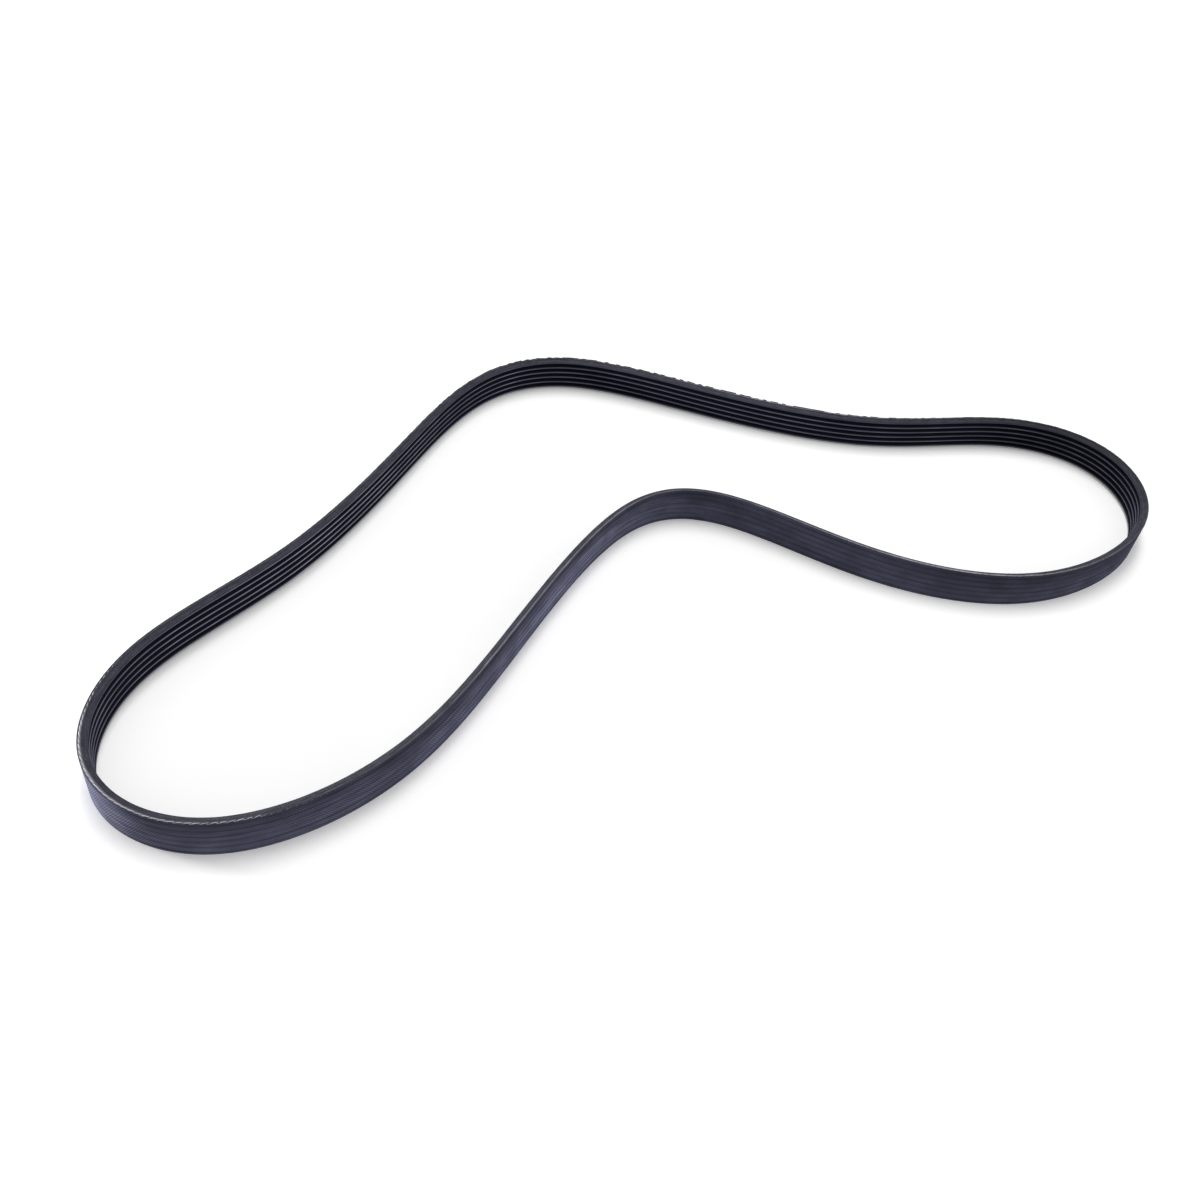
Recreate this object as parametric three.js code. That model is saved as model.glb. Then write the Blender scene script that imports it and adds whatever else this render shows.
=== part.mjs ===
// A multi-rib serpentine belt, standing on its cut edge in the bent loop that it springs into
// when nothing holds it. Millimetres, +Z up, the floor at z = 0, the origin under the middle of
// the loop. The ribs face the inside of the loop and the smooth fabric back faces out.
import * as THREE from 'three';

// Ribs: the standard automotive multi-rib section
const RIB_COUNT = 6;
const RIB_PITCH = 3.56;
const RIB_ANGLE = 40;
const RIB_HEIGHT = 2.6;
const RIB_TIP_RADIUS = 0.6;
const VALLEY_RADIUS = 0.3;

// The rest of the section
const BELT_THICKNESS = 4.4;
const BACK_ABOVE_CORD = 1.2;
const BACK_EDGE_RADIUS = 0.25;

// The box of the standing loop seen from above
const LOOP_LENGTH = 550;
const LOOP_DEPTH = 416;

// The shape of the cord line's route, as the guide points of a smooth closed curve seen from
// above, anticlockwise. Each guide point pulls the belt towards itself without touching it. The
// curve is stretched a little to fill the loop's box.
const ROUTE_GUIDES = [
  [-273, -194],
  [-203, -219],
  [-131, -161],
  [-100, -71],
  [-53, 68],
  [10, 78],
  [91, 32],
  [193, 27],
  [282, 109],
  [272, 196],
  [198, 217],
  [105, 171],
  [-9, 186],
  [-104, 210],
  [-164, 168],
  [-188, 71],
  [-220, -41],
  [-280, -116],
];

// How finely the curves are divided
const TIP_ARC_STEPS = 3;
const VALLEY_ARC_STEPS = 1;
const EDGE_ARC_STEPS = 1;
const LONGEST_STEP = 34;
const WIDEST_TURN = THREE.MathUtils.degToRad(12);
const ROUTE_SAMPLES = 3200;

const BELT_COLOUR = 0x26262e;
const BELT_ROUGHNESS = 0.62;

// A closed uniform cubic B-spline: its curvature has no jumps, like a bent springy strip.
class ClosedSpringCurve extends THREE.Curve {
  constructor(guides) {
    super();
    this.guides = guides.map(([x, y]) => new THREE.Vector3(x, y, 0));
  }

  getPoint(t, target = new THREE.Vector3()) {
    const count = this.guides.length;
    const place = (t - Math.floor(t)) * count;
    const span = Math.floor(place);
    const s = place - span;
    const weights = [
      (1 - s) ** 3 / 6,
      (3 * s ** 3 - 6 * s ** 2 + 4) / 6,
      (-3 * s ** 3 + 3 * s ** 2 + 3 * s + 1) / 6,
      s ** 3 / 6,
    ];
    target.set(0, 0, 0);
    weights.forEach((weight, k) => {
      const guide = this.guides[(span + k + count - 1) % count];
      target.addScaledVector(guide, weight);
    });
    return target;
  }
}

// The route with its size: the back of the belt lies outside the cord line all the way round.
function loopRoute() {
  const shape = new ClosedSpringCurve(ROUTE_GUIDES);
  const box = new THREE.Box3().setFromPoints(shape.getPoints(ROUTE_SAMPLES));
  const size = box.getSize(new THREE.Vector3());
  const stretchX = (LOOP_LENGTH - 2 * BACK_ABOVE_CORD) / size.x;
  const stretchY = (LOOP_DEPTH - 2 * BACK_ABOVE_CORD) / size.y;
  return new ClosedSpringCurve(ROUTE_GUIDES.map(([x, y]) => [x * stretchX, y * stretchY]));
}

// Points along an arc, both ends included. Angles in radians, x is outward and y is up.
function arc(centre, radius, from, to, steps) {
  const points = [];
  for (let k = 0; k <= steps; k += 1) {
    const angle = from + (to - from) * (k / steps);
    const x = centre.x + radius * Math.cos(angle);
    const y = centre.y + radius * Math.sin(angle);
    points.push(new THREE.Vector2(x, y));
  }
  return points;
}

// One rib from its upper valley to its lower one. middle is the rib's height on the belt.
function ribOutline(middle) {
  const valley = BACK_ABOVE_CORD - (BELT_THICKNESS - RIB_HEIGHT);
  const slope = THREE.MathUtils.degToRad(RIB_ANGLE / 2);
  const tipCentre = new THREE.Vector2(valley - RIB_HEIGHT + RIB_TIP_RADIUS, middle);
  const flankLean = Math.sin(slope) * (RIB_HEIGHT - RIB_TIP_RADIUS - VALLEY_RADIUS);
  const valleyReach = (RIB_TIP_RADIUS + VALLEY_RADIUS + flankLean) / Math.cos(slope);
  const upper = new THREE.Vector2(valley - VALLEY_RADIUS, middle + valleyReach);
  const lower = new THREE.Vector2(valley - VALLEY_RADIUS, middle - valleyReach);
  const flankUp = Math.PI / 2 + slope;
  const flankDown = 1.5 * Math.PI - slope;
  return [
    ...arc(upper, VALLEY_RADIUS, 0, flankUp - Math.PI, VALLEY_ARC_STEPS),
    ...arc(tipCentre, RIB_TIP_RADIUS, flankUp, flankDown, TIP_ARC_STEPS),
    ...arc(lower, VALLEY_RADIUS, flankDown - Math.PI, 0, VALLEY_ARC_STEPS),
  ];
}

// The whole section, anticlockwise: x is outward from the cord line and y is the height.
function beltSection() {
  const width = RIB_COUNT * RIB_PITCH;
  const valley = BACK_ABOVE_CORD - (BELT_THICKNESS - RIB_HEIGHT);
  const edge = BACK_ABOVE_CORD - BACK_EDGE_RADIUS;
  const lowEdge = new THREE.Vector2(edge, BACK_EDGE_RADIUS);
  const highEdge = new THREE.Vector2(edge, width - BACK_EDGE_RADIUS);
  const outline = [
    ...arc(lowEdge, BACK_EDGE_RADIUS, -Math.PI / 2, 0, EDGE_ARC_STEPS),
    ...arc(highEdge, BACK_EDGE_RADIUS, 0, Math.PI / 2, EDGE_ARC_STEPS),
    new THREE.Vector2(valley, width),
  ];
  for (let rib = 0; rib < RIB_COUNT; rib += 1) {
    outline.push(...ribOutline(width - (rib + 0.5) * RIB_PITCH));
  }
  outline.push(new THREE.Vector2(valley, 0));
  return outline;
}

// Places along the route where the section is set, close together in the bends and far apart
// on the straighter stretches. Each has its point on the cord line and its outward direction.
function routeStations(curve) {
  const point = new THREE.Vector3();
  const tangent = new THREE.Vector3();
  const samples = [];
  let effort = 0;
  for (let k = 0; k <= ROUTE_SAMPLES; k += 1) {
    const t = k / ROUTE_SAMPLES;
    curve.getPoint(t, point);
    curve.getTangent(t, tangent);
    if (k > 0) {
      const last = samples[k - 1];
      const turn = last.tangent.angleTo(tangent);
      effort += last.point.distanceTo(point) / LONGEST_STEP + turn / WIDEST_TURN;
    }
    samples.push({ point: point.clone(), tangent: tangent.clone(), effort });
  }
  const count = Math.ceil(effort);
  const stations = [];
  let k = 0;
  for (let station = 0; station < count; station += 1) {
    while (samples[k].effort < (station * effort) / count) {
      k += 1;
    }
    const { point: onCord, tangent: along } = samples[k];
    stations.push({ onCord, outward: new THREE.Vector3(along.y, -along.x, 0) });
  }
  return stations;
}

// Sweeps the section once round the closed route, with no ends to cap.
function sweepRound(section, stations) {
  const positions = [];
  for (const { onCord, outward } of stations) {
    for (const { x, y } of section) {
      positions.push(onCord.x + outward.x * x, onCord.y + outward.y * x, y);
    }
  }
  const indices = [];
  stations.forEach((_, i) => {
    const here = i * section.length;
    const next = ((i + 1) % stations.length) * section.length;
    section.forEach((__, j) => {
      const k = (j + 1) % section.length;
      indices.push(here + j, next + j, next + k);
      indices.push(here + j, next + k, here + k);
    });
  });
  const geometry = new THREE.BufferGeometry();
  geometry.setAttribute('position', new THREE.Float32BufferAttribute(positions, 3));
  geometry.setIndex(indices);
  geometry.computeVertexNormals();
  return geometry;
}

// Moves a geometry sideways so that the origin lies under the middle of its box.
function centreOverOrigin(geometry) {
  geometry.computeBoundingBox();
  const middle = geometry.boundingBox.getCenter(new THREE.Vector3());
  geometry.translate(-middle.x, -middle.y, 0);
  return geometry;
}

function makeBelt() {
  const stations = routeStations(loopRoute());
  const geometry = centreOverOrigin(sweepRound(beltSection(), stations));
  const rubber = new THREE.MeshStandardMaterial({
    color: BELT_COLOUR,
    roughness: BELT_ROUGHNESS,
    metalness: 0,
    flatShading: true,
  });
  const belt = new THREE.Mesh(geometry, rubber);
  belt.name = 'ribbed_belt';
  return belt;
}

const group = new THREE.Group();
group.add(makeBelt());

export default group;
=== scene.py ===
# %% [markdown]
# # A serpentine belt on its edge
#
# The real object is the long ribbed belt that drives the alternator and the pumps of a car engine.
# It is one ring of black rubber with a woven back and a layer of twisted cord inside. Nothing holds
# it here, so it stands on its cut edge and springs into a bent loop.
#
# The solid model of the belt is loaded first. It fixes the size and the place of everything, so the
# detailed pieces below only have to follow it. Its box is kept, to compare with at the end.

# %% Load the measured belt
import math

import bpy
import numpy as np
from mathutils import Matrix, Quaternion, Vector


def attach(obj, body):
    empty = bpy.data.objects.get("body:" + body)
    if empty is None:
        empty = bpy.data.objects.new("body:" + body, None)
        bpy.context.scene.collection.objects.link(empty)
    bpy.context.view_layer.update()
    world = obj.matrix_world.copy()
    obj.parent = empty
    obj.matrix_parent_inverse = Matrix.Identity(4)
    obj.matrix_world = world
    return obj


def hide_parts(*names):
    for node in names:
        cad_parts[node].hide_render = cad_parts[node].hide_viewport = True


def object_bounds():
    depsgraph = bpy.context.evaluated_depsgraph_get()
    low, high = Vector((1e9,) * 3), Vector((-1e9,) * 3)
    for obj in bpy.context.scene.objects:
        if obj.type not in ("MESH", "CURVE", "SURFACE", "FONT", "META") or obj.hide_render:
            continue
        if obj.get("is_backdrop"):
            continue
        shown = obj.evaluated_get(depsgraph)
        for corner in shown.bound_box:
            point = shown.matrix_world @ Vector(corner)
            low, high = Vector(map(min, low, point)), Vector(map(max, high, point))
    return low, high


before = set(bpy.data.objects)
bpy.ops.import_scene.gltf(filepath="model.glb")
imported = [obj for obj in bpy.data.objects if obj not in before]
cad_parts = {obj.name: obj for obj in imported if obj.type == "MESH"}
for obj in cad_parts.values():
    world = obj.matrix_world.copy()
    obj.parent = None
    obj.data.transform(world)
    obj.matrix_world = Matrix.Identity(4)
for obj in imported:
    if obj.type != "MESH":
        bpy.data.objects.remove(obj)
cad_box = [list(corner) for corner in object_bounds()]
print("CAD nodes:", sorted(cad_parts))
print("CAD box in metres:", cad_box)

MM = 0.001

# %% [markdown]
# ## The camera
#
# The view decides how much detail each side needs, so the camera comes before the pieces. It looks
# down on the loop at 42 degrees through a fairly wide lens, from about 0.6 m away, and it is turned
# a little about its own axis: the near end of the loop sits low in the picture and to the left.
#
# The camera could follow an empty with a Track To constraint. Working out its place from an angle
# and a distance is as short, and leaves nothing in the scene that could move it later.

# %% Camera
LOOKED_AT = Vector((-58.8, -14.1, 0.0)) * MM
CAMERA_DISTANCE = 599.8 * MM
CAMERA_ELEVATION = math.radians(42.05)
CAMERA_ROLL = math.radians(8.6)
LENS = 33.0
NEAREST_SEEN = 10 * MM

camera_data = bpy.data.cameras.new("photo_camera")
camera_data.lens = LENS
camera_data.clip_start = NEAREST_SEEN
camera = bpy.data.objects.new("photo_camera", camera_data)
bpy.context.scene.collection.objects.link(camera)
bpy.context.scene.camera = camera

back_to_camera = Vector((0, -math.cos(CAMERA_ELEVATION), math.sin(CAMERA_ELEVATION)))
camera.location = LOOKED_AT + back_to_camera * CAMERA_DISTANCE
level_view = (-back_to_camera).to_track_quat("-Z", "Y")
camera.rotation_mode = "QUATERNION"
camera.rotation_quaternion = level_view @ Quaternion((0, 0, 1), CAMERA_ROLL)
print("camera at", [round(c, 4) for c in camera.location])

# %% [markdown]
# ## The route of the belt
#
# A springy strip that nothing holds has no sudden change of bend. A uniform cubic B-spline has the
# same habit: every guide point only pulls the curve towards itself. These are the guide points of
# the solid model, in millimetres seen from above, anticlockwise, and the box that its loop fills.
#
# Blender's own curve objects could sweep a profile along such a route. Here the curve is worked out
# with numpy instead, because the ribs, the weave and the cord all have to know how far along the
# belt they are. Each point of the belt then has three plain numbers: its run along the belt, its
# distance outward from the cord line, and its height above the floor.

# %% Route
LOOP_SIZE = (550.0, 416.0)
ROUTE_GUIDES = [
    (-273, -194), (-203, -219), (-131, -161), (-100, -71), (-53, 68), (10, 78),
    (91, 32), (193, 27), (282, 109), (272, 196), (198, 217), (105, 171),
    (-9, 186), (-104, 210), (-164, 168), (-188, 71), (-220, -41), (-280, -116),
]
SAMPLES_PER_SPAN = 600
BACK_ABOVE_CORD = 1.2


def spring_curve(guides, samples):
    """Points of the closed B-spline, and its outward directions, at even steps of each span."""
    guides = np.array(guides, float)
    s = np.arange(samples)[:, None] / samples
    weights = [(1 - s) ** 3, 3 * s**3 - 6 * s**2 + 4, -3 * s**3 + 3 * s**2 + 3 * s + 1, s**3]
    slopes = [-3 * (1 - s) ** 2, 9 * s**2 - 12 * s, -9 * s**2 + 6 * s + 3, 3 * s**2]
    points = []
    tangents = []
    for span in range(len(guides)):
        near = [guides[(span + k - 1) % len(guides)] for k in range(4)]
        points.append(sum(w * g for w, g in zip(weights, near)) / 6)
        tangents.append(sum(w * g for w, g in zip(slopes, near)) / 6)
    points = np.concatenate(points)
    tangents = np.concatenate(tangents)
    tangents /= np.linalg.norm(tangents, axis=1)[:, None]
    outward = np.column_stack([tangents[:, 1], -tangents[:, 0]])
    return points, outward


shape_points, _ = spring_curve(ROUTE_GUIDES, SAMPLES_PER_SPAN)
stretch = (np.array(LOOP_SIZE) - 2 * BACK_ABOVE_CORD) / np.ptp(shape_points, axis=0)
route_points, route_outward = spring_curve(ROUTE_GUIDES * stretch, SAMPLES_PER_SPAN)
route_points = route_points - (route_points.min(axis=0) + route_points.max(axis=0)) / 2

closed_points = np.vstack([route_points, route_points[:1]])
closed_outward = np.vstack([route_outward, route_outward[:1]])
step_lengths = np.linalg.norm(np.diff(closed_points, axis=0), axis=1)
route_run = np.concatenate([[0], np.cumsum(step_lengths)])
BELT_LENGTH = route_run[-1]
print(f"cord line {BELT_LENGTH:.1f} mm")


def run_beside(x, y):
    """How far along the belt the place nearest to a point of the floor is."""
    return route_run[np.hypot(*(closed_points - (x, y)).T).argmin()]


LEFT_END = run_beside(-273, -160)
NEAR_LEG = run_beside(-90, -20)
FRONT_RIGHT = run_beside(150, 30)
BACK_HUMP = run_beside(-104, 200)
RIGHT_END = run_beside(273, 135)
FAR_LEG = run_beside(-205, 20)
landmarks = (LEFT_END, NEAR_LEG, FRONT_RIGHT, RIGHT_END, BACK_HUMP, FAR_LEG)
print("landmarks along the belt:", [round(place) for place in landmarks])


def place_on_belt(run, outward, height):
    """Belt coordinates in millimetres to room coordinates in metres."""
    run = np.mod(run, BELT_LENGTH)
    x, y = (np.interp(run, route_run, closed_points[:, axis]) for axis in (0, 1))
    out_x, out_y = (np.interp(run, route_run, closed_outward[:, axis]) for axis in (0, 1))
    return np.stack([x + out_x * outward, y + out_y * outward, height], axis=-1) * MM


# %% [markdown]
# ## Slow changes along the belt
#
# No two stretches of a used or handled belt look the same: an edge wanders by a few hundredths of a
# millimetre, the cord shows here and hides there. Random numbers for each place would look like
# sand, and would break where the ring closes. A sum of a few sine waves with whole numbers of
# periods is smooth and closes by itself. Each use has its own seed, so that the same waves can be
# asked for twice, for two pieces that have to agree.

# %% Slow waves and gentle spots
WAVES = 9


def slow_waves(run, longest, shortest, seed):
    """Smooth waviness between about -1 and 1 that closes round the belt. Lengths in mm."""
    phases = np.random.default_rng(seed).uniform(0, 2 * np.pi, WAVES)
    total = np.zeros_like(run, float)
    for length, phase in zip(np.geomspace(longest, shortest, WAVES), phases):
        periods = max(1, round(BELT_LENGTH / length))
        total += np.sin(2 * np.pi * periods * run / BELT_LENGTH + phase)
    return total / math.sqrt(WAVES) * 0.7


def near(run, middle, reach):
    """1 at the middle, falling smoothly to 0 at about twice the reach, round the closed belt."""
    away = np.abs(np.mod(run - middle + BELT_LENGTH / 2, BELT_LENGTH) - BELT_LENGTH / 2)
    return np.exp(-((away / reach) ** 2))


def band(value, middle, reach):
    """The same for a number that isn't a place along the belt."""
    return np.exp(-(((value - middle) / reach) ** 2))


# %% [markdown]
# ## From belt coordinates to a mesh
#
# Every piece of this belt but the loose fibres goes all the way round, so one helper makes them
# all: it takes a grid of places, with a row for each step along the belt and a column for each
# point of the section. The last row joins the first, so the ring has no ends to cap.
#
# The helper also unrolls the belt into a UV map in metres, which the materials use for anything
# that follows the belt, and stores each point's distance outward and height as plain attributes.

# %% Mesh helper
BELT_MAP = "belt_run"


def ring_mesh(name, run, outward, height, closed_section):
    """A mesh piece from three equal grids of belt coordinates in millimetres."""
    rows, columns = run.shape
    corners = place_on_belt(run, outward, height).reshape(-1, 3)
    last = columns if closed_section else columns - 1
    i, j = np.meshgrid(np.arange(rows), np.arange(last), indexing="ij")
    next_i = (i + 1) % rows
    next_j = (j + 1) % columns
    faces = np.stack(
        [i * columns + j, next_i * columns + j, next_i * columns + next_j, i * columns + next_j],
        axis=-1,
    ).reshape(-1, 4)

    mesh = bpy.data.meshes.new(name)
    mesh.vertices.add(len(corners))
    mesh.vertices.foreach_set("co", corners.astype(np.float32).ravel())
    mesh.loops.add(faces.size)
    mesh.loops.foreach_set("vertex_index", faces.astype(np.int32).ravel())
    mesh.polygons.add(len(faces))
    mesh.polygons.foreach_set("loop_start", np.arange(0, faces.size, 4, dtype=np.int32))

    steps = np.hypot(np.diff(outward, axis=1), np.diff(height, axis=1)).mean(axis=0)
    close = math.hypot(outward[0, 0] - outward[0, -1], height[0, 0] - height[0, -1])
    across = np.concatenate([[0], np.cumsum(steps), [steps.sum() + close]])
    ahead = np.where(i + 1 == rows, BELT_LENGTH, 0)
    u_next = run[next_i, j] + ahead
    u_next_above = run[next_i, next_j] + ahead
    u = np.stack([run[i, j], u_next, u_next_above, run[i, next_j]], axis=-1)
    v = np.stack([across[j], across[j], across[j + 1], across[j + 1]], axis=-1)
    uv = mesh.uv_layers.new(name=BELT_MAP)
    uv.data.foreach_set("uv", (np.stack([u, v], axis=-1) * MM).astype(np.float32).ravel())

    for label, grid in (("outward_mm", outward), ("height_mm", height)):
        values = mesh.attributes.new(label, "FLOAT", "POINT")
        values.data.foreach_set("value", grid.astype(np.float32).ravel())
    mesh.polygons.foreach_set("use_smooth", np.ones(len(faces), bool))
    mesh.update(calc_edges=True)
    mesh.validate()
    piece = bpy.data.objects.new(name, mesh)
    bpy.context.scene.collection.objects.link(piece)
    print(f"{name}: {rows} rows of {columns}, {2 * len(faces)} triangles")
    return piece


def store(piece, label, grid):
    """Keep one more number per point for the materials."""
    values = piece.data.attributes.new(label, "FLOAT", "POINT")
    values.data.foreach_set("value", grid.astype(np.float32).ravel())


# %% [markdown]
# ## The ribbed body
#
# The ribs are what this belt is known by: six V-shaped ribs at a pitch of 3.56 mm, ground to 40
# degrees, with round tips and tight round valleys. They sit in the grooves of the pulleys, so their
# section has to be right. It is drawn once, as arcs joined by straight flanks, and swept.
#
# The same section is in the solid model with few points. Here the arcs are finer, so that the light
# runs smoothly over the tips, and the cut edges get extra points so that they can wander a little,
# as a knife leaves them.

# %% Section of the ribs
RIB_COUNT = 6
RIB_PITCH = 3.56
RIB_SLOPE = math.radians(20)
RIB_HEIGHT = 2.6
RIB_TIP_RADIUS = 0.6
VALLEY_RADIUS = 0.3
BELT_THICKNESS = 4.4
BELT_WIDTH = RIB_COUNT * RIB_PITCH
VALLEY_OUTWARD = BACK_ABOVE_CORD - (BELT_THICKNESS - RIB_HEIGHT)
FABRIC_THICKNESS = 0.3
FABRIC_OVERLAP = 0.03
TIP_STEPS = 6
VALLEY_STEPS = 3
CUT_EDGE_STEPS = 5


def arc(centre, radius, start, end, steps):
    """Points of an arc in the plane of the section, both ends included."""
    angles = np.linspace(start, end, steps + 1)
    return [(centre[0] + radius * math.cos(a), centre[1] + radius * math.sin(a)) for a in angles]


def rib_outline(middle):
    """One rib from its upper valley to its lower one."""
    tip = (VALLEY_OUTWARD - RIB_HEIGHT + RIB_TIP_RADIUS, middle)
    lean = math.sin(RIB_SLOPE) * (RIB_HEIGHT - RIB_TIP_RADIUS - VALLEY_RADIUS)
    reach = (RIB_TIP_RADIUS + VALLEY_RADIUS + lean) / math.cos(RIB_SLOPE)
    upper = (VALLEY_OUTWARD - VALLEY_RADIUS, middle + reach)
    lower = (VALLEY_OUTWARD - VALLEY_RADIUS, middle - reach)
    up = math.pi / 2 + RIB_SLOPE
    down = 1.5 * math.pi - RIB_SLOPE
    return (
        arc(upper, VALLEY_RADIUS, 0, up - math.pi, VALLEY_STEPS)
        + arc(tip, RIB_TIP_RADIUS, up, down, TIP_STEPS)
        + arc(lower, VALLEY_RADIUS, down - math.pi, 0, VALLEY_STEPS)
    )


def body_section():
    """The rubber under the fabric, anticlockwise: outward from the cord line, and height."""
    under_fabric = BACK_ABOVE_CORD - FABRIC_THICKNESS + FABRIC_OVERLAP
    cut_places = np.linspace(VALLEY_OUTWARD, under_fabric, CUT_EDGE_STEPS + 1)
    outline = [(place, 0.0) for place in cut_places]
    outline += [(place, BELT_WIDTH) for place in reversed(cut_places)]
    for rib in range(RIB_COUNT):
        outline += rib_outline(BELT_WIDTH - (rib + 0.5) * RIB_PITCH)
    return np.array(outline)


section = body_section()
section_size = np.ptp(section, axis=0)
print(f"section of {len(section)} points, {section_size[0]:.2f} by {section_size[1]:.2f} mm")

# %% [markdown]
# The sweep takes one row about every 2.3 mm, short enough that even the tight bends look round. The
# two cut edges wander by some hundredths of a millimetre, as the knife left them. Each rib wanders
# in and out a little less, as the grinding wheel left it. The valleys stay where they are.

# %% Ribbed body
BODY_ROWS = 700
EDGE_WANDER = 0.05
EDGE_WAVES = (90, 7)
RIB_WANDER = 0.03
RIB_WAVES = (140, 12)
RIB_FLANKS_START = -1.0
AT_THE_EDGE = 0.01

rows = np.linspace(0, BELT_LENGTH, BODY_ROWS, endpoint=False)
run = np.repeat(rows[:, None], len(section), axis=1)
outward = np.repeat(section[None, :, 0], BODY_ROWS, axis=0)
height = np.repeat(section[None, :, 1], BODY_ROWS, axis=0)

on_top = section[:, 1] > BELT_WIDTH - AT_THE_EDGE
on_bottom = section[:, 1] < AT_THE_EDGE
height[:, on_top] -= EDGE_WANDER * np.abs(slow_waves(rows, *EDGE_WAVES, seed=1))[:, None]
height[:, on_bottom] += EDGE_WANDER * np.abs(slow_waves(rows, *EDGE_WAVES, seed=2))[:, None]
for rib in range(RIB_COUNT):
    middle = BELT_WIDTH - (rib + 0.5) * RIB_PITCH
    in_pitch = np.abs(section[:, 1] - middle) < RIB_PITCH / 2
    on_rib = in_pitch & (section[:, 0] < RIB_FLANKS_START)
    outward[:, on_rib] += RIB_WANDER * slow_waves(rows, *RIB_WAVES, seed=10 + rib)[:, None]

body = ring_mesh("ribbed_body", run, outward, height, closed_section=True)
run_of_body = run
outward_of_body = outward

# %% [markdown]
# ## The woven back
#
# The back of the belt is a thin square-woven cloth, laid on the bias, with rubber rubbed into it.
# Its threads cross the belt at a slant. Where light grazes the left end, the ridges of one set of
# threads stand out clearly. Everywhere else they are only a faint texture.
#
# A bump map would be lighter, but at a grazing angle only real ridges catch the light and break up
# the outline. So the cloth is a thin band of its own. Its rows lie along the threads, and four rows
# make one ridge. The crossing threads are left to the bump.
#
# Under the cloth the ribs are thicker than the valleys, and as the belt cures this draws faint
# long hollows into the back, one for each valley. Two columns for each rib are enough for them.

# %% Woven back
THREAD_PITCH = 1.3
THREAD_SLANT = 0.76
ROWS_PER_THREAD = 4
THREAD_RELIEF = 0.08
COLUMNS_PER_RIB = 2
SINK_DEPTH = 0.05
SINK_EVENNESS = 0.65
FLATTER_END = (LEFT_END + 28, 40)
EDGE_INSET = 0.1

thread_count = round(BELT_LENGTH / THREAD_PITCH)
cloth_rows = thread_count * ROWS_PER_THREAD
column_heights = np.linspace(EDGE_INSET, BELT_WIDTH - EDGE_INSET, RIB_COUNT * COLUMNS_PER_RIB + 1)
row_run = np.linspace(0, BELT_LENGTH, cloth_rows, endpoint=False)
height = np.repeat(column_heights[None, :], cloth_rows, axis=0)
run = row_run[:, None] + THREAD_SLANT * (height - BELT_WIDTH / 2)

across_thread = 2 * np.pi * np.arange(cloth_rows) / ROWS_PER_THREAD
ridge = np.repeat(np.cos(across_thread)[:, None], len(column_heights), axis=1)
over_valley = (1 + np.cos(2 * np.pi * height / RIB_PITCH)) / 2
unevenness = 0.35 * slow_waves(run, 160, 20, seed=20)
sink = SINK_DEPTH * over_valley * (SINK_EVENNESS + unevenness)
sink *= 1 - 0.7 * near(run, *FLATTER_END)
outward = BACK_ABOVE_CORD - THREAD_RELIEF + THREAD_RELIEF * ridge - sink
print(f"{thread_count} threads round the belt, {cloth_rows} rows of cloth")

# %% [markdown]
# ### The borders of the cloth
#
# The cloth was cut together with the rubber, so both its borders are a little frayed. On the hump
# at the back the upper border is ragged: groups of two threads stand up or are missing, which
# makes the edge look like small teeth from the front.
#
# Each border is folded down into the body. The band has no inner side: its rows are slanted, so a
# flat inner side would stick out in the hollow bends.

# %% Borders of the cloth
FRAY_HEIGHT = 0.08
HUMP_FRAY = 0.52
RAGGED_STRETCH = (BACK_HUMP - 80, 190)
BORDER_INSET = 0.02

random = np.random.default_rng(7)
loose_ends = random.uniform(0, 1, thread_count // 2 + 1)
thread_ends = np.repeat(loose_ends, 2 * ROWS_PER_THREAD)[:cloth_rows]
standing = np.clip(3 * thread_ends - 1, 0, 1)
fray_top = FRAY_HEIGHT * random.uniform(-0.4, 1, cloth_rows)
fray_top += HUMP_FRAY * near(row_run, *RAGGED_STRETCH) * standing
fray_bottom = FRAY_HEIGHT * random.uniform(0, 1, cloth_rows)
top = BELT_WIDTH - BORDER_INSET + fray_top[:, None]
bottom = fray_bottom[:, None] * 0.5
run = np.hstack([run[:, :1], run[:, :1], run, run[:, -1:], run[:, -1:]])
height = np.hstack([bottom, bottom, height, top, top])
rim = np.full((cloth_rows, 1), BACK_ABOVE_CORD - THREAD_RELIEF)
deep = np.full((cloth_rows, 1), BACK_ABOVE_CORD - FABRIC_THICKNESS)
outward = np.hstack([deep, rim, outward, rim, deep])
ridge = np.hstack([ridge[:, :1], ridge[:, :1], ridge, ridge[:, -1:], ridge[:, -1:]])

cloth = ring_mesh("woven_back", run, outward, height, closed_section=False)
store(cloth, "ridge", ridge)

# %% [markdown]
# The cloth isn't equally pale everywhere. On the leg that faces right, a broad band about the
# middle is pale, partly rubbed and partly painted light from the lamp at the right, and its upper
# border keeps a painted shade. The near end is pale over nearly its whole width, rubbed and painted
# light from the lamp at the left. The front right is hardly rubbed. And all round, painted light
# from the white floor makes the cloth paler towards the floor than towards the top. Such broad
# changes are easiest to say in belt coordinates, so they are stored for each point, and the
# material only adds the fine streaks. The threads that are missing from the ragged border are
# stored too: their cut ends are pale.

# %% Where the cloth is rubbed pale and painted light
# Painted bounce light from the white floor: the cloth is paler low down and darker high up.
BOUNCE_LIGHT_LOW = 1.35
BOUNCE_LIGHT_HIGH = 0.72
BOUNCE_LIGHT_HEIGHT = 18
# Rubbed pale and painted light on the near leg and round the near end, painted shade on the upper
# border.
RUBBED_AND_LIT_LEG = (NEAR_LEG - 5, 115)
RUBBED_AND_LIT_END = (LEFT_END + 28, 36)
RUBBED_AND_LIT_BEHIND_END = (LEFT_END + 120, 80)
RUBBED_AND_LIT_BAND = (10.5, 5)
PAINTED_SHADE_BORDER = (BELT_WIDTH, 2.6)

# The pale share is part real rubbing, part painted light from the lamps; the upper border keeps a
# painted shade.
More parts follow.
